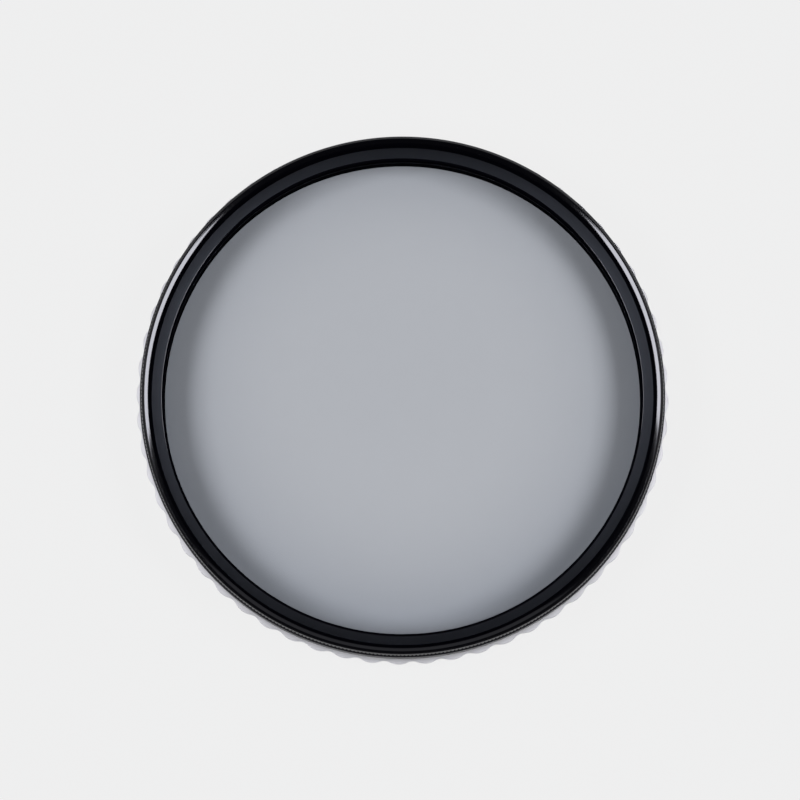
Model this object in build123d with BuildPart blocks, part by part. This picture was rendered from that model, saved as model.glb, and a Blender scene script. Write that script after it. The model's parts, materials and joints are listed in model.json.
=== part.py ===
import math
import os

from build123d import *

# Screw-in polarising lens filter, lying on its rear thread with the front up
# Millimetres, +Z along the optical axis towards the subject, Z = 0 at the rear end
os.makedirs("parts", exist_ok=True)

# Driving dimensions across the optical axis
thread_radius = 38.5
rear_crest_allowance = 0.05
front_crest_depth = 0.42
front_root_step = 0.1
bore_inset = 2.01
lip_inset = 2.2
lip_land = 0.27
glass_lip = 0.9
retainer_bore_relief = 0.1
bearing_step = 0.45
bearing_wall = 0.94
grip_web = 0.35
lobe_depth = 0.45
lobe_count = 60
lobe_share = 0.64
mouth_run = 0.54
knurl_lead_run = 0.37
knurl_taper = 0.14

# Driving dimensions along the optical axis
rear_thread_length = 1.9
floor_thickness = 0.6
grip_height = 1.8
grip_fall = 0.3
collar_rise = 3.7
seam = 0.1
retainer_setback = 0.3
retainer_height = 0.9
plate_thickness = 1.05
film_thickness = 0.2
lip_height = 0.35
cone_rise = 1.05
front_thread_length = 1.25
mouth_rise = 0.2
knurl_lead_rise = 0.35

# Thread end, the retaining wire and the spanner notches
thread_lead = 0.25
wire_size = 0.4
wire_gap_angle = 14.0
notch_width = 1.6
notch_depth = 0.4

# Clearances
running_clearance = 0.05
glass_clearance = 0.05
retainer_clearance = 0.02

# Radii that follow from the thread size
rear_crest_radius = thread_radius - rear_crest_allowance
front_crest_radius = thread_radius - front_crest_depth
bore_radius = thread_radius - bore_inset
lip_radius = thread_radius - lip_inset
cone_foot_radius = lip_radius + lip_land
glass_radius = lip_radius + glass_lip
glass_seat_radius = glass_radius + glass_clearance
retainer_radius = glass_seat_radius - retainer_clearance
retainer_bore_radius = bore_radius + retainer_bore_relief
bearing_radius = thread_radius + bearing_step
spigot_radius = bearing_radius - running_clearance
grip_seat_radius = bearing_radius + bearing_wall
trough_radius = grip_seat_radius + grip_web
lobe_radius = trough_radius + lobe_depth
throat_radius = thread_radius + front_root_step
mouth_radius = throat_radius + mouth_run
knurl_top_radius = mouth_radius + knurl_lead_run
knurl_radius = knurl_top_radius + knurl_taper

# Heights that follow from the stack
floor_top = rear_thread_length + floor_thickness
grip_top = rear_thread_length + grip_height
spigot_bottom = floor_top + running_clearance
collar_top = grip_top + collar_rise
knurl_bottom = collar_top + seam
retainer_bottom = spigot_bottom + retainer_setback
rear_glass_bottom = retainer_bottom + retainer_height
film_bottom = rear_glass_bottom + plate_thickness
front_glass_bottom = film_bottom + film_thickness
lip_bottom = front_glass_bottom + plate_thickness
cone_bottom = lip_bottom + lip_height
cone_top = cone_bottom + cone_rise
front_thread_top = cone_top + front_thread_length
throat_height = front_thread_top + throat_radius - front_crest_radius
crest_height = throat_height + mouth_rise

# Groove for the retaining wire, half in the mount and half in the turning ring
groove_middle = (floor_top + collar_top) / 2
groove_half = wire_size / 2 + running_clearance
wire_outer_radius = bearing_radius + wire_size / 2 + running_clearance
wire_inner_radius = wire_outer_radius - wire_size
groove_inner_radius = wire_inner_radius - running_clearance


def around(radius, angle):
    """Point on a circle about the optical axis, angle in degrees."""
    turn = math.radians(angle)
    return (radius * math.cos(turn), radius * math.sin(turn))


# Mount ring with the rear thread, the floor and the collar that the front ring turns in
with BuildPart() as mount_ring:
    with BuildSketch(Plane.XZ) as mount_section:
        with BuildLine():
            Polyline(
                (bore_radius, 0),
                (rear_crest_radius - thread_lead, 0),
                (rear_crest_radius, thread_lead),
                (rear_crest_radius, rear_thread_length),
                (grip_seat_radius, rear_thread_length),
                (grip_seat_radius, collar_top),
                (bearing_radius, collar_top),
                (bearing_radius, groove_middle + groove_half),
                (wire_outer_radius, groove_middle + groove_half),
                (wire_outer_radius, groove_middle - groove_half),
                (bearing_radius, groove_middle - groove_half),
                (bearing_radius, floor_top),
                (bore_radius, floor_top),
                close=True,
            )
        make_face()
    revolve(axis=Axis.Z)
mount_ring.part.label = "mount_ring"
export_step(mount_ring.part, "parts/mount_ring.step")

# Grip ring with rounded lobes, seated around the mount ring
lobe_pitch = 360 / lobe_count
lobe_half = lobe_pitch * lobe_share / 2
join_radius = trough_radius + lobe_depth * (1 - lobe_share)

with BuildPart() as grip_ring:
    with BuildSketch(Plane.XY.offset(rear_thread_length)) as grip_outline:
        with BuildLine():
            for lobe in range(lobe_count):
                middle = lobe * lobe_pitch
                ThreePointArc(
                    around(join_radius, middle - lobe_half),
                    around(lobe_radius, middle),
                    around(join_radius, middle + lobe_half),
                )
                ThreePointArc(
                    around(join_radius, middle + lobe_half),
                    around(trough_radius, middle + lobe_pitch / 2),
                    around(join_radius, middle + lobe_pitch - lobe_half),
                )
        make_face()
    extrude(amount=grip_height)
    with BuildSketch(Plane.XZ) as grip_section:
        with BuildLine():
            Polyline(
                (grip_seat_radius, rear_thread_length),
                (lobe_radius, rear_thread_length),
                (lobe_radius, grip_top - grip_fall),
                (grip_seat_radius, grip_top),
                close=True,
            )
        make_face()
    revolve(axis=Axis.Z, mode=Mode.INTERSECT)
grip_ring.part.label = "grip_ring"
export_step(grip_ring.part, "parts/grip_ring.step")

# Retaining wire, an open spring ring in the groove
with BuildPart() as snap_ring:
    with BuildSketch(Plane.XZ) as wire_section:
        with Locations(((wire_inner_radius + wire_outer_radius) / 2, groove_middle)):
            Rectangle(wire_size, wire_size)
    revolve(axis=Axis.Z, revolution_arc=360 - wire_gap_angle)
snap_ring.part.label = "snap_ring"
export_step(snap_ring.part, "parts/snap_ring.step")

# Turning ring with the spigot, the glass seat, the front cone, thread, mouth and tapered grip band
with BuildPart() as rotating_ring:
    with BuildSketch(Plane.XZ) as ring_section:
        with BuildLine():
            Polyline(
                (glass_seat_radius, spigot_bottom),
                (spigot_radius, spigot_bottom),
                (spigot_radius, groove_middle - groove_half),
                (groove_inner_radius, groove_middle - groove_half),
                (groove_inner_radius, groove_middle + groove_half),
                (spigot_radius, groove_middle + groove_half),
                (spigot_radius, knurl_bottom),
                (knurl_radius, knurl_bottom),
                (knurl_top_radius, crest_height - knurl_lead_rise),
                (mouth_radius, crest_height),
                (throat_radius, throat_height),
                (front_crest_radius, front_thread_top),
                (front_crest_radius, cone_top),
                (cone_foot_radius, cone_bottom),
                (lip_radius, cone_bottom),
                (lip_radius, lip_bottom),
                (glass_seat_radius, lip_bottom),
                close=True,
            )
        make_face()
    revolve(axis=Axis.Z)
rotating_ring.part.label = "rotating_ring"
export_step(rotating_ring.part, "parts/rotating_ring.step")

# Rear glass plate
with BuildPart() as rear_glass:
    with BuildSketch(Plane.XY.offset(rear_glass_bottom)):
        Circle(glass_radius)
    extrude(amount=plate_thickness)
rear_glass.part.label = "rear_glass"
export_step(rear_glass.part, "parts/rear_glass.step")

# Polarising film between the plates
with BuildPart() as polarising_film:
    with BuildSketch(Plane.XY.offset(film_bottom)):
        Circle(glass_radius)
    extrude(amount=film_thickness)
polarising_film.part.label = "polarising_film"
export_step(polarising_film.part, "parts/polarising_film.step")

# Front glass plate
with BuildPart() as front_glass:
    with BuildSketch(Plane.XY.offset(front_glass_bottom)):
        Circle(glass_radius)
    extrude(amount=plate_thickness)
front_glass.part.label = "front_glass"
export_step(front_glass.part, "parts/front_glass.step")

# Retaining ring behind the glass, with two spanner notches in its rear face
with BuildPart() as retaining_ring:
    with BuildSketch(Plane.XY.offset(retainer_bottom)):
        Circle(retainer_radius)
        Circle(retainer_bore_radius, mode=Mode.SUBTRACT)
    extrude(amount=retainer_height)
    with BuildSketch(Plane.XY.offset(retainer_bottom)):
        Rectangle(2 * thread_radius, notch_width)
    extrude(amount=notch_depth, mode=Mode.SUBTRACT)
retaining_ring.part.label = "retaining_ring"
export_step(retaining_ring.part, "parts/retaining_ring.step")
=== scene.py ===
import json
import math

import bmesh
import bpy
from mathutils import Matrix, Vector


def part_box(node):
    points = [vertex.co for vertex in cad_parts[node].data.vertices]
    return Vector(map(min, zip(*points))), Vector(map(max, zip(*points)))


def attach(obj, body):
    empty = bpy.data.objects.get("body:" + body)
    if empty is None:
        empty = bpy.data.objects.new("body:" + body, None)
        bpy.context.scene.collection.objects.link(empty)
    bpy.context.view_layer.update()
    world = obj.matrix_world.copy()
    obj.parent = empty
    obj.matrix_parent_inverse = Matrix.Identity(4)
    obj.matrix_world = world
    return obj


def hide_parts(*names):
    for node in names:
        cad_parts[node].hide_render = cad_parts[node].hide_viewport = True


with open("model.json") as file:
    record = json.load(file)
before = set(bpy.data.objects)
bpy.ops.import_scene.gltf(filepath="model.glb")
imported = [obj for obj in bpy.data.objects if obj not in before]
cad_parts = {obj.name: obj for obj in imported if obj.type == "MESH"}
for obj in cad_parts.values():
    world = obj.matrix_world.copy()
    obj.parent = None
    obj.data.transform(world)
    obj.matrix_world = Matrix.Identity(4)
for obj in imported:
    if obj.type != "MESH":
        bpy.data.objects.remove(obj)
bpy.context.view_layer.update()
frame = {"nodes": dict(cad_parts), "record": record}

# Lengths are in metres; MM turns the drawing's millimetres into them
MM = 0.001
TURN = 2 * math.pi

# Sizes read from the solids
_, mount_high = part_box("mount_ring")
grip_low, grip_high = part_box("grip_ring")
ring_low, ring_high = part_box("rotating_ring")
rear_low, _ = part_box("rear_glass")
_, front_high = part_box("front_glass")
retainer_low, retainer_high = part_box("retaining_ring")
mounts = {m["name"]: m for m in frame["record"]["mounts"]}
rear_crest_radius = mounts["rear_thread"]["dims"]["r_mm"] * MM
front_crest_radius = mounts["front_thread"]["dims"]["r_mm"] * MM

grip_seat_radius = mount_high.x
lobe_radius = grip_high.x
knurl_radius = ring_high.x
glass_radius = front_high.x
retainer_radius = retainer_high.x
crest_height = ring_high.z
spigot_bottom = ring_low.z
grip_top = grip_high.z
collar_top = mount_high.z
rear_thread_length = grip_low.z
lip_bottom = front_high.z
rear_glass_bottom = rear_low.z

# Sizes of the sections, as in the part's drawing
BORE_RADIUS = 36.49 * MM
LIP_RADIUS = 36.3 * MM
GLASS_CLEARANCE = 0.05 * MM
RETAINER_BORE_RELIEF = 0.1 * MM
BEARING_WALL = 0.94 * MM
RUNNING_CLEARANCE = 0.05 * MM
WIRE_SIZE = 0.4 * MM
SEAM = 0.1 * MM
LIP_HEIGHT = 0.35 * MM
CONE_RISE = 1.05 * MM
KNURL_LEAD_RUN = 0.37 * MM
KNURL_LEAD_RISE = 0.35 * MM
KNURL_TAPER = 0.14 * MM
THREAD_LEAD = 0.25 * MM
NOTCH_WIDTH = 1.6 * MM
NOTCH_DEPTH = 0.4 * MM
LOBE_COUNT = 60
LOBE_SHARE = 0.64
LOBE_DEPTH = 0.45 * MM
GRIP_FALL = 0.3 * MM

# Sizes of the front edge, about 0.1 mm off the drawing's to suit the photograph
LIP_LAND = 0.35 * MM
THREAD_STEP = 0.43 * MM
MOUTH_RUN = 0.66 * MM
MOUTH_RISE = 0.29 * MM

# Fine detail that only the look needs
KNURL_TEETH = 426
KNURL_DEPTH = 0.13 * MM
KNURL_CROWN = 0.7 * MM
THREAD_PITCH = 0.75 * MM
THREAD_DEPTH = 0.4 * MM
THREAD_STEEPNESS = 1.3
SOFT_EDGE = 0.03 * MM
LOBE_EDGE = 0.1 * MM
GLASS_BEVEL = 0.15 * MM
MOUTH_CROWN = 0.0126 * MM

# How finely the meshes are divided; a tooth has a column in its root and one at each end of its tip
RING_COLUMNS = 720
LOBE_COLUMNS = 24
TOOTH_COLUMNS = (0, 0.3, 0.7)
THREAD_ROW = 0.07 * MM
MOUTH_ROWS = 4
LEAD_ROWS = 3
ROUND_POINTS = 3
SHARP_DEGREES = 40
GLASS_SHARP_DEGREES = 20

# Radii and heights that follow from these
glass_seat_radius = glass_radius + GLASS_CLEARANCE
retainer_bore_radius = BORE_RADIUS + RETAINER_BORE_RELIEF
cone_foot_radius = LIP_RADIUS + LIP_LAND
bearing_radius = grip_seat_radius - BEARING_WALL
spigot_radius = bearing_radius - RUNNING_CLEARANCE
floor_top = spigot_bottom - RUNNING_CLEARANCE
groove_middle = (floor_top + collar_top) / 2
groove_low = groove_middle - WIRE_SIZE / 2 - RUNNING_CLEARANCE
groove_high = groove_middle + WIRE_SIZE / 2 + RUNNING_CLEARANCE
groove_outer_radius = bearing_radius + WIRE_SIZE / 2 + RUNNING_CLEARANCE
groove_inner_radius = groove_outer_radius - WIRE_SIZE - RUNNING_CLEARANCE
knurl_bottom = collar_top + SEAM
cone_bottom = lip_bottom + LIP_HEIGHT
cone_top = cone_bottom + CONE_RISE
knurl_top_radius = knurl_radius - KNURL_TAPER
knurl_top = crest_height - KNURL_LEAD_RISE
knurl_crown = knurl_bottom + KNURL_CROWN
mouth_radius = knurl_top_radius - KNURL_LEAD_RUN
throat_radius = mouth_radius - MOUTH_RUN
throat_height = crest_height - MOUTH_RISE
front_thread_top = throat_height - THREAD_STEP


def even_angles(count):
    """Evenly spaced angles for one turn."""
    return [TURN * i / count for i in range(count)]


def softened(section):
    """A closed section with a small round on every corner, of ROUND_POINTS points each."""
    points = []
    for i, corner in enumerate(section):
        here = Vector(corner)
        back = Vector(section[i - 1]) - here
        ahead = Vector(section[(i + 1) % len(section)]) - here
        start = here + back.normalized() * min(SOFT_EDGE, back.length / 3)
        end = here + ahead.normalized() * min(SOFT_EDGE, ahead.length / 3)
        middle = (start + 2 * here + end) / 4
        points += [start, middle, end]
    return points


def divided(section, low, high, radius_low, radius_high, step):
    """The section with extra points on its edges inside a window of radius and height."""
    points = []
    for i, here in enumerate(section):
        ahead = section[(i + 1) % len(section)]
        points.append(here)
        middle = (here + ahead) / 2
        inside = low < middle.y < high and radius_low < middle.x < radius_high
        parts = math.ceil((ahead - here).length / step) if inside else 1
        points += [here.lerp(ahead, k / parts) for k in range(1, parts)]
    return points


def turned(name, section, angles, cut):
    """A ring swept round the axis from a closed section of (radius, height) points.

    cut(radius, height, column) gives the radius and height of one point after cutting."""
    mesh = bpy.data.meshes.new(name)
    rows, columns = len(section), len(angles)
    points = []
    for radius, height in section:
        for column, angle in enumerate(angles):
            r, z = cut(radius, height, column)
            points.append((r * math.cos(angle), r * math.sin(angle), z))
    faces = []
    for row in range(rows):
        below, above = row * columns, (row + 1) % rows * columns
        for column in range(columns):
            beside = (column + 1) % columns
            faces.append((below + column, below + beside, above + beside, above + column))
    mesh.from_pydata(points, [], faces)
    return finished(name, mesh)


def finished(name, mesh, sharp_degrees=SHARP_DEGREES):
    """An object for the mesh, with its faces turned outwards and smooth between sharp edges."""
    shape = bmesh.new()
    shape.from_mesh(mesh)
    bmesh.ops.recalc_face_normals(shape, faces=shape.faces)
    shape.to_mesh(mesh)
    shape.free()
    mesh.shade_smooth()
    mesh.set_sharp_from_angle(angle=math.radians(sharp_degrees))
    piece = bpy.data.objects.new(name, mesh)
    bpy.context.collection.objects.link(piece)
    flatten = piece.modifiers.new("flat_faces", "WEIGHTED_NORMAL")
    flatten.keep_sharp = True
    return piece


def thread_wave(height, angle):
    """How deep a right-hand thread is cut here, 0 at its crest and 1 at its root."""
    phase = (height / THREAD_PITCH - angle / TURN) % 1
    ridge = abs(2 * phase - 1)
    return min(1, max(0, THREAD_STEEPNESS * ridge - (THREAD_STEEPNESS - 1) / 2))


def ramp(value, start, end):
    """0 before start, 1 after end and straight between them."""
    return min(1, max(0, (value - start) / (end - start)))


def mount_ring():
    """Rear ring: threaded spigot, floor and the collar that the front ring turns in."""
    angles = even_angles(RING_COLUMNS)
    section = softened([
        (BORE_RADIUS, 0),
        (rear_crest_radius - THREAD_LEAD, 0),
        (rear_crest_radius, THREAD_LEAD),
        (rear_crest_radius, rear_thread_length),
        (grip_seat_radius, rear_thread_length),
        (grip_seat_radius, collar_top),
        (bearing_radius, collar_top),
        (bearing_radius, groove_high),
        (groove_outer_radius, groove_high),
        (groove_outer_radius, groove_low),
        (bearing_radius, groove_low),
        (bearing_radius, floor_top),
        (BORE_RADIUS, floor_top),
    ])
    section = divided(section, 0, rear_thread_length, rear_crest_radius - THREAD_DEPTH,
                      rear_crest_radius + SOFT_EDGE, THREAD_ROW)
    run_out = rear_thread_length - THREAD_PITCH / 2

    def cut(radius, height, column):
        if radius > rear_crest_radius + SOFT_EDGE or height >= rear_thread_length:
            return radius, height
        held = 1 - ramp(height, run_out, rear_thread_length - SOFT_EDGE)
        depth = THREAD_DEPTH * held * thread_wave(height, angles[column])
        return min(radius, rear_crest_radius - depth), height

    return turned("mount_ring_threaded", section, angles, cut)


def lobe_outline(angle):
    """Radius of the lobed grip at an angle: round lobes joined by hollow arcs."""
    pitch = TURN / LOBE_COUNT
    trough_radius = lobe_radius - LOBE_DEPTH
    join_radius = trough_radius + LOBE_DEPTH * (1 - LOBE_SHARE)
    lobe_half = pitch * LOBE_SHARE / 2
    from_lobe = (angle + pitch / 2) % pitch - pitch / 2
    if abs(from_lobe) <= lobe_half:
        tip, half, off, side = lobe_radius, lobe_half, from_lobe, 1
    else:
        tip, half, side = trough_radius, pitch / 2 - lobe_half, -1
        off = abs(from_lobe) - pitch / 2
    centre = (tip ** 2 - join_radius ** 2) / (2 * (tip - join_radius * math.cos(half)))
    arc = abs(tip - centre)
    return centre * math.cos(off) + side * math.sqrt(arc ** 2 - (centre * math.sin(off)) ** 2)


def grip_ring():
    """Lobed grip around the mount, its top falling towards the lobes."""
    angles = even_angles(LOBE_COUNT * LOBE_COLUMNS)
    outline = [lobe_outline(angle) for angle in angles]
    slope = GRIP_FALL / (lobe_radius - grip_seat_radius)
    bend = LOBE_EDGE / 4
    # Each row is a setback from the outline and a height from the top or the foot
    rows = [(None, 0, False), (LOBE_EDGE, 0, False), (bend, bend, False), (0, LOBE_EDGE, False),
            (0, -LOBE_EDGE, True), (bend, -bend, True), (LOBE_EDGE, 0, True), (None, 0, True)]

    def cut(row, _, column):
        setback, rise, at_top = rows[int(row)]
        radius = grip_seat_radius if setback is None else outline[column] - setback
        top = grip_top - slope * (radius - grip_seat_radius)
        return radius, (top if at_top else rear_thread_length) + rise

    return turned("grip_ring_lobed", [(i, 0) for i in range(len(rows))], angles, cut)


def rotating_ring():
    """Front ring: knurled outside, with the glass seat, the black cone, thread and mouth."""
    pitch = TURN / KNURL_TEETH
    angles = [pitch * (tooth + share) for tooth in range(KNURL_TEETH) for share in TOOTH_COLUMNS]
    hidden = [
        (glass_seat_radius, lip_bottom),
        (glass_seat_radius, spigot_bottom),
        (spigot_radius, spigot_bottom),
        (spigot_radius, groove_low),
        (groove_inner_radius, groove_low),
        (groove_inner_radius, groove_high),
        (spigot_radius, groove_high),
        (spigot_radius, knurl_bottom),
    ]
    shown = [
        (knurl_radius, knurl_bottom),
        (knurl_radius, knurl_crown),
        (knurl_top_radius, knurl_top),
        (mouth_radius, crest_height),
        (throat_radius, throat_height),
        (front_crest_radius, front_thread_top),
        (front_crest_radius, cone_top),
        (cone_foot_radius, cone_bottom),
        (LIP_RADIUS, cone_bottom),
        (LIP_RADIUS, lip_bottom),
    ]
    # Only the corners that show are rounded
    rounded = softened(hidden + shown)[ROUND_POINTS * len(hidden):]
    section = [Vector(point) for point in hidden] + rounded
    section = divided(section, cone_top, throat_height, 0, throat_radius, THREAD_ROW)
    section = divided(section, throat_height, crest_height, throat_radius, mouth_radius,
                      MOUTH_RUN / MOUTH_ROWS)
    section = divided(section, knurl_top, crest_height, mouth_radius, knurl_top_radius,
                      KNURL_LEAD_RUN / LEAD_ROWS)
    run_in = cone_top + THREAD_PITCH / 4

    def cut(radius, height, column):
        if column % len(TOOTH_COLUMNS) == 0:
            rise = ramp(height, knurl_crown, knurl_top)
            radius = min(radius, knurl_radius - KNURL_TAPER * rise - KNURL_DEPTH * (1 - rise))
        if cone_top < height < throat_height and radius < throat_radius:
            depth = THREAD_DEPTH * ramp(height, cone_top, run_in)
            depth *= thread_wave(height, angles[column])
            radius = max(radius, front_crest_radius + depth)
        if throat_height < height < crest_height and throat_radius < radius < mouth_radius:
            along = (radius - throat_radius) / MOUTH_RUN
            height += 4 * MOUTH_CROWN * along * (1 - along)
        return radius, height

    return turned("rotating_ring_knurled", section, angles, cut)


def retaining_ring():
    """Ring behind the glass, with two spanner notches in its rear face."""
    half = math.asin(NOTCH_WIDTH / 2 / retainer_radius)
    # Each wall of a notch is two columns a hair apart, so that it stands upright
    hair = half / 500
    edges = [side + turn for turn in (0, math.pi) for side in (-half, half)]
    angles = even_angles(RING_COLUMNS // 2) + [e + s for e in edges for s in (-hair, hair)]
    angles = sorted(angle % TURN for angle in angles)
    notch_top = retainer_low.z + NOTCH_DEPTH
    section = softened([
        (retainer_bore_radius, retainer_low.z),
        (retainer_radius, retainer_low.z),
        (retainer_radius, retainer_high.z),
        (retainer_bore_radius, retainer_high.z),
    ])

    def cut(radius, height, column):
        across = abs((angles[column] + math.pi / 2) % math.pi - math.pi / 2)
        return radius, max(height, notch_top) if across < half else height

    return turned("retaining_ring_notched", section, angles, cut)


def filter_glass():
    """The two plates and the film, cemented into one pane with ground edges."""
    name = "filter_glass"
    low, high = rear_glass_bottom, lip_bottom
    inner = glass_radius - GLASS_BEVEL
    section = [(inner, low), (glass_radius, low + GLASS_BEVEL),
               (glass_radius, high - GLASS_BEVEL), (inner, high)]
    angles = even_angles(RING_COLUMNS // 2)
    columns = len(angles)
    points = [(r * math.cos(a), r * math.sin(a), z) for r, z in section for a in angles]
    top = len(section) - 1
    faces = [list(range(columns)), list(range(top * columns, (top + 1) * columns))]
    for row in range(top):
        for column in range(columns):
            beside = (column + 1) % columns
            here, above = row * columns, (row + 1) * columns
            faces.append((here + column, here + beside, above + beside, above + column))
    mesh = bpy.data.meshes.new(name)
    mesh.from_pydata(points, [], faces)
    return finished(name, mesh, GLASS_SHARP_DEGREES)


def new_material(name):
    """A node material with its shader, and a function that adds nodes to it.

    The function takes inputs by name, or by number as _0, _1 and so on, and links sockets."""
    material = bpy.data.materials.new(name)
    material.use_nodes = True
    tree = material.node_tree
    shader = tree.nodes["Principled BSDF"]

    def add(kind, settings=None, **inputs):
        node = tree.nodes.new(kind)
        for key, value in (settings or {}).items():
            setattr(node, key, value)
        for key, value in inputs.items():
            socket = node.inputs[int(key[1:])] if key[1:].isdigit() else node.inputs[key]
            if isinstance(value, bpy.types.NodeSocket):
                tree.links.new(value, socket)
            else:
                socket.default_value = value
        return node

    return material, shader, add


# Grain of the finishes, in cycles per millimetre
TONE_GRAIN = 0.35
GLOSS_GRAIN = 1.2
HAZE_GRAIN = 0.02
GRAIN_DETAIL = 3

# Lathe marks
MARK_SPACING = 0.2 * MM
MARK_DEPTH = 0.001 * MM
POLISHED_DEPTH = 0.0001 * MM


def speckle(add, scale):
    """Soft noise in the object's own space, scale in cycles per millimetre."""
    place = add("ShaderNodeTexCoord").outputs["Object"]
    noise = add("ShaderNodeTexNoise", Vector=place, Scale=scale / MM, Detail=GRAIN_DETAIL)
    return noise.outputs["Fac"]


def axis_distance(add):
    """Distance from the optical axis."""
    place = add("ShaderNodeTexCoord").outputs["Object"]
    flat = add("ShaderNodeVectorMath", {"operation": "MULTIPLY"}, _0=place, _1=(1, 1, 0)).outputs[0]
    return add("ShaderNodeVectorMath", {"operation": "LENGTH"}, _0=flat).outputs["Value"]


def turning_marks(add):
    """Fine lathe grooves: ridges round the axis, spaced along the section."""
    place = add("ShaderNodeTexCoord").outputs["Object"]
    height = add("ShaderNodeSeparateXYZ", Vector=place).outputs["Z"]
    along = add("ShaderNodeMath", {"operation": "ADD"}, _0=axis_distance(add), _1=height).outputs[0]
    phase = add("ShaderNodeMath", {"operation": "MULTIPLY"}, _0=along, _1=TURN / MARK_SPACING)
    return add("ShaderNodeMath", {"operation": "SINE"}, _0=phase.outputs[0]).outputs[0]


def metal(name, dark, light, rough, metallic=0.0, specular=0.5, tint=(1, 1, 1),
          depth=MARK_DEPTH, painted_shade=None):
    """Turned metal with slight changes of tone and gloss, lathe marks, and an optional painted shade.

    The last argument gives (inner radius, outer radius, share) of a painted shade: the tone darkens to
    the share at the inner radius, where the piece meets its neighbour."""
    material, shader, add = new_material(name)
    grain = speckle(add, TONE_GRAIN)
    tone = add("ShaderNodeMix", {"data_type": "RGBA"}, Factor=grain, _6=(*dark, 1), _7=(*light, 1))
    gloss = add("ShaderNodeMapRange", Value=speckle(add, GLOSS_GRAIN), _3=rough[0], _4=rough[1])
    bump = add("ShaderNodeBump", Strength=1.0, Distance=depth, Height=turning_marks(add))
    links = material.node_tree.links
    colour = tone.outputs[2]
    # Painted shade: the tone darkens towards the inner radius, as if shadowed where the piece meets the
    # next part
    if painted_shade:
        inner, outer, share = painted_shade
        fall = add("ShaderNodeMapRange", Value=axis_distance(add), _1=inner, _2=outer, _3=share, _4=1.0)
        shaded = add("ShaderNodeVectorMath", {"operation": "SCALE"}, _0=colour, Scale=fall.outputs[0])
        colour = shaded.outputs[0]
    links.new(colour, shader.inputs["Base Color"])
    links.new(gloss.outputs[0], shader.inputs["Roughness"])
    links.new(bump.outputs[0], shader.inputs["Normal"])
    shader.inputs["Metallic"].default_value = metallic
    shader.inputs["Specular IOR Level"].default_value = specular
    shader.inputs["Specular Tint"].default_value = (*tint, 1)
    return material


def tinted_glass():
    """Grey coated glass that lets the lamps through to what lies under it."""
    material, shader, add = new_material("polarising_glass")
    tint = (0.844, 0.857, 0.88, 1)
    coating = (0.85, 0.95, 1.0, 1)
    unevenness = 0.015
    links = material.node_tree.links
    haze = add("ShaderNodeMapRange", Value=speckle(add, HAZE_GRAIN), _3=1 - unevenness, _4=1 + unevenness)
    tone = add("ShaderNodeVectorMath", {"operation": "SCALE"}, _0=tint[:3], Scale=haze.outputs[0])
    links.new(tone.outputs[0], shader.inputs["Base Color"])
    shader.inputs["Roughness"].default_value = 0.0
    shader.inputs["IOR"].default_value = 1.5
    shader.inputs["Transmission Weight"].default_value = 1.0
    shader.inputs["Specular Tint"].default_value = coating
    path = add("ShaderNodeLightPath")
    passing = add("ShaderNodeMath", {"operation": "MAXIMUM"},
                  _0=path.outputs["Is Shadow Ray"], _1=path.outputs["Is Diffuse Ray"])
    straight = add("ShaderNodeBsdfTransparent", Color=tint)
    mix = add("ShaderNodeMixShader", Fac=passing.outputs[0],
              _1=shader.outputs[0], _2=straight.outputs[0])
    links.new(mix.outputs[0], material.node_tree.nodes["Material Output"].inputs["Surface"])
    return material


# Finishes, each with its darkest and lightest tone and its range of roughness
COOL = (0.9, 0.905, 1.0)
satin_black = metal("black_anodised", (0.0015, 0.0015, 0.0024), (0.003, 0.003, 0.0045), (0.38, 0.46),
                    specular=0.33, tint=COOL)
polished_black = metal("polished_mouth", (0.0008, 0.0008, 0.0015), (0.0012, 0.0012, 0.0022),
                       (0.08, 0.12), specular=0.75, tint=COOL, depth=POLISHED_DEPTH)
cone_black = metal("satin_cone", (0.001, 0.0011, 0.0016), (0.002, 0.0022, 0.0032), (0.52, 0.58),
                   specular=0.55, tint=(0.745, 0.805, 1.0))
matte_black = metal("matte_bore", (0.0008, 0.0008, 0.0016), (0.0014, 0.0014, 0.0028), (0.75, 0.85),
                    specular=0.0)
lead_black = metal("bevelled_edge", (0.001, 0.001, 0.0016), (0.002, 0.002, 0.0032), (0.13, 0.18),
                   specular=0.34, tint=COOL)
knurl_black = metal("knurled_band", (0.0012, 0.0012, 0.002), (0.0024, 0.0024, 0.0038), (0.32, 0.4),
                    specular=0.37, tint=COOL)
# The grip's tone darkens towards the collar: a painted shade where the grip meets it
silver = metal("bright_aluminium", (0.845, 0.842, 0.882), (0.885, 0.882, 0.922), (0.72, 0.76),
               metallic=1.0, painted_shade=(grip_seat_radius, lobe_radius - LOBE_DEPTH / 2, 0.76))
flank = metal("milled_flank", (0.62, 0.62, 0.64), (0.7, 0.7, 0.72), (0.3, 0.38), metallic=1.0)
steel = metal("spring_steel", (0.5, 0.5, 0.5), (0.58, 0.58, 0.58), (0.25, 0.35), metallic=1.0)
glass = tinted_glass()


def place(piece, body, slot, material, *nodes):
    """Puts a piece on its body in place of its solids, with its finish."""
    piece.data.materials.append(material)
    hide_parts(*nodes)
    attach(piece, body)
    return piece


def refinish(piece, material, low, high, inner, outer):
    """Gives another finish to the faces inside a window of height and radius."""
    finishes = piece.data.materials
    if material.name not in finishes:
        finishes.append(material)
    index = finishes.find(material.name)
    for face in piece.data.polygons:
        reach = math.hypot(face.center.x, face.center.y)
        if low < face.center.z < high and inner < reach < outer:
            face.material_index = index


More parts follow.
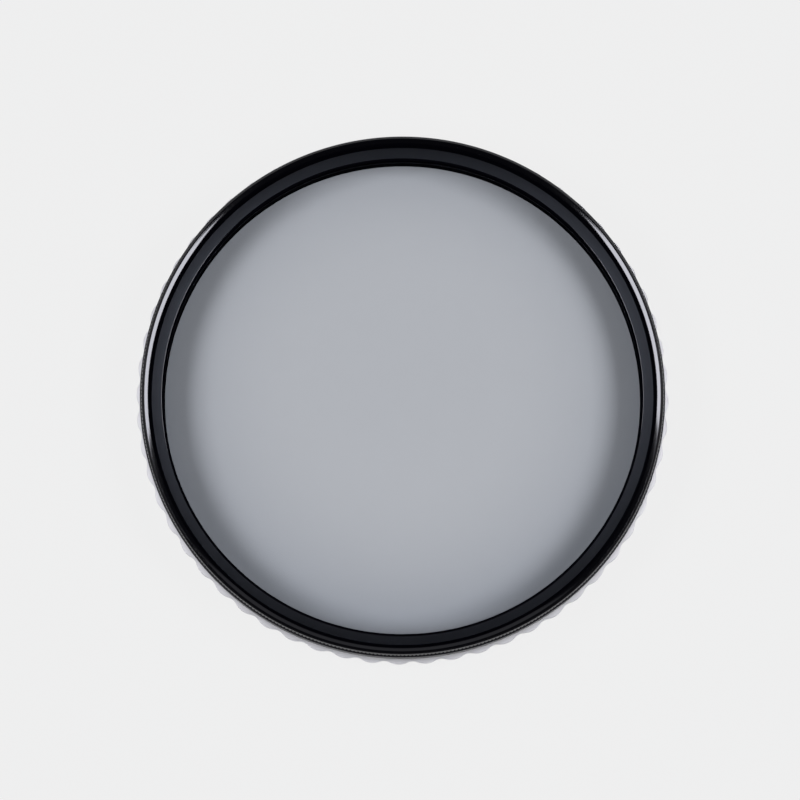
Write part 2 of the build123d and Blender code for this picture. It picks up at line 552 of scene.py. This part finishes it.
# Pieces of the filter, each on its body
rear = place(mount_ring(), "mount", "black_anodised", satin_black, "mount_ring")
grip = place(grip_ring(), "mount", "bright_aluminium", silver, "grip_ring")
front = place(rotating_ring(), "front", "black_anodised", satin_black, "rotating_ring")
place(retaining_ring(), "front", "black_anodised", matte_black, "retaining_ring")
place(filter_glass(), "front", "clear_glass", glass, "front_glass", "polarising_film", "rear_glass")
refinish(rear, matte_black, 0, floor_top, 0, BORE_RADIUS + SOFT_EDGE)
refinish(grip, flank, rear_thread_length + LOBE_EDGE, grip_top - GRIP_FALL - LOBE_EDGE,
         grip_seat_radius + LOBE_EDGE, lobe_radius)
refinish(front, matte_black, lip_bottom, throat_height, 0, throat_radius)
refinish(front, cone_black, cone_bottom, cone_top, cone_foot_radius, front_crest_radius)
refinish(front, polished_black, throat_height, crest_height, throat_radius, mouth_radius)
refinish(front, polished_black, cone_bottom, cone_bottom + SOFT_EDGE,
         cone_foot_radius - SOFT_EDGE, cone_foot_radius + SOFT_EDGE)
refinish(front, lead_black, knurl_top, crest_height, mouth_radius, knurl_top_radius)
refinish(front, knurl_black, knurl_bottom, knurl_top, spigot_radius, knurl_radius)

wire = frame["nodes"]["snap_ring"]
wire.data.materials.clear()
wire.data.materials.append(steel)


# The table: its reach, its tones, and the painted shade that darkens its colour under the glass towards
# the rim
FLOOR_REACH = 3.0
FLOOR_GLOW = (0.88, 0.88, 0.88, 1)
FLOOR_GLOW_SHARE = 0.94
FLOOR_GLOW_EDGE = 0.6 * MM
FLOOR_MIDDLE = (0.745, 0.745, 0.745, 1)
FLOOR_RIM_PAINTED_SHADE = (0.51, 0.526, 0.554, 1)
SHADE_CENTRE = (0, 3 * MM, 0)
SHADE_START, SHADE_END = 12 * MM, 37 * MM
SHADE_POWER = 2.5

# The room's glow, which falls with the height of a ray between the horizon and the dark
HORIZON_GLOW, ROOM_GLOW = 0.075, 0.015
HORIZON_END, ROOM_START = 0.03, 0.14

# The lamps
SOFTBOX_RADIANCE = 10.0
SOFTBOX_LOW, SOFTBOX_HIGH = -0.13, 0.13
CARD_RADIANCE = 0.33


def stage_floor():
    """Pale table that mostly glows by itself outside the filter, with a painted shade in its colour under
    the glass that darkens towards the rim.
    """
    reach = FLOOR_REACH
    mesh = bpy.data.meshes.new("floor")
    mesh.from_pydata([(-reach, -reach, 0), (reach, -reach, 0), (reach, reach, 0), (-reach, reach, 0)],
                     [], [(0, 1, 2, 3)])
    floor = bpy.data.objects.new("floor", mesh)
    bpy.context.collection.objects.link(floor)
    material, shader, add = new_material("pale_table")
    shader.inputs["Roughness"].default_value = 0.9
    shader.inputs["Specular IOR Level"].default_value = 0.0
    glow = add("ShaderNodeEmission", Color=FLOOR_GLOW, Strength=1.0)
    place_on = add("ShaderNodeTexCoord").outputs["Object"]
    distance = add("ShaderNodeVectorMath", {"operation": "LENGTH"}, _0=place_on).outputs["Value"]
    # Painted shade: the table's colour darkens from the middle tone to a bluish rim tone towards the
    # filter's rim, under the glass
    off_centre = add("ShaderNodeVectorMath", {"operation": "DISTANCE"}, _0=place_on, _1=SHADE_CENTRE)
    near_rim = add("ShaderNodeMapRange", Value=off_centre.outputs["Value"],
                   _1=SHADE_START, _2=SHADE_END)
    painted_shade = add("ShaderNodeMath", {"operation": "POWER"}, _0=near_rim.outputs[0], _1=SHADE_POWER)
    inside = add("ShaderNodeMix", {"data_type": "RGBA"}, Factor=painted_shade.outputs[0],
                 _6=FLOOR_MIDDLE, _7=FLOOR_RIM_PAINTED_SHADE)
    material.node_tree.links.new(inside.outputs[2], shader.inputs["Base Color"])
    outside = add("ShaderNodeMapRange", Value=distance, _1=rear_crest_radius - FLOOR_GLOW_EDGE,
                  _2=rear_crest_radius, _3=0.0, _4=FLOOR_GLOW_SHARE)
    mix = add("ShaderNodeMixShader", Fac=outside.outputs[0], _1=shader.outputs[0], _2=glow.outputs[0])
    material.node_tree.links.new(mix.outputs[0],
                                 material.node_tree.nodes["Material Output"].inputs["Surface"])
    mesh.materials.append(material)


def softbox(name, place, radiance, *panels):
    """A lamp of even brightness facing the filter, made of panels in one plane.

    Each panel is (left, right, low, high), measured from the place."""
    facing = Vector(place).to_track_quat("Z", "Y")
    for number, (left, right, low, high) in enumerate(panels):
        lamp = bpy.data.lights.new(f"{name}_{number}", "AREA")
        lamp.shape = "RECTANGLE"
        lamp.size, lamp.size_y = right - left, high - low
        lamp.energy = radiance * math.pi * lamp.size * lamp.size_y
        holder = bpy.data.objects.new(lamp.name, lamp)
        holder.location = Vector(place) + facing @ Vector(((left + right) / 2, (low + high) / 2, 0))
        holder.rotation_euler = facing.to_euler()
        bpy.context.collection.objects.link(holder)


def studio():
    """Dark room with a paler horizon, two softboxes, a dim card behind and the table."""
    world = bpy.data.worlds.new("studio")
    bpy.context.scene.world = world
    world.use_nodes = True
    nodes, links = world.node_tree.nodes, world.node_tree.links
    ray = nodes.new("ShaderNodeTexCoord")
    part = nodes.new("ShaderNodeSeparateXYZ")
    level = nodes.new("ShaderNodeMapRange")
    links.new(ray.outputs["Generated"], part.inputs[0])
    links.new(part.outputs["Z"], level.inputs["Value"])
    level.inputs["From Min"].default_value = HORIZON_END
    level.inputs["From Max"].default_value = ROOM_START
    level.inputs["To Min"].default_value = HORIZON_GLOW
    level.inputs["To Max"].default_value = ROOM_GLOW
    links.new(level.outputs[0], nodes["Background"].inputs["Strength"])
    nodes["Background"].inputs["Color"].default_value = (1, 1, 1, 1)
    # The second panel of each softbox is a lower wing towards -Y
    softbox("softbox_left", (-0.42, -0.03, 0.56), SOFTBOX_RADIANCE,
            (-0.1775, 0.1665, SOFTBOX_LOW, SOFTBOX_HIGH), (0.1665, 0.23, SOFTBOX_LOW, 0.06))
    softbox("softbox_right", (0.42, -0.01, 0.56), SOFTBOX_RADIANCE,
            (-0.16, 0.193, SOFTBOX_LOW, SOFTBOX_HIGH), (-0.24, -0.16, SOFTBOX_LOW, 0.055))
    softbox("rear_card", (0.03, 0.45, 0.49), CARD_RADIANCE, (-0.31, 0.31, -0.12, 0.12))
    stage_floor()


def camera():
    """The photograph's view: almost straight down on the front, tipped towards -Y."""
    tilt, turn = math.radians(7.36), math.radians(0.84)
    distance = 0.5458
    aim = Vector((0, 0, 4.61 * MM))
    image_width = 800
    focal_pixels = 3576.0
    shift_pixels = (-2.5, -3.1)
    sensor = 36.0
    data = bpy.data.cameras.new("camera")
    data.sensor_width = sensor
    data.lens = focal_pixels * sensor / image_width
    data.shift_x, data.shift_y = (pixels / image_width for pixels in shift_pixels)
    eye = bpy.data.objects.new("camera", data)
    across = math.sin(tilt)
    towards = Vector((across * math.sin(turn), -across * math.cos(turn), math.cos(tilt)))
    eye.location = aim + distance * towards
    eye.rotation_euler = (tilt, 0, turn)
    bpy.context.collection.objects.link(eye)
    bpy.context.scene.camera = eye
    bpy.context.scene.view_settings.view_transform = "Standard"


studio()
camera()
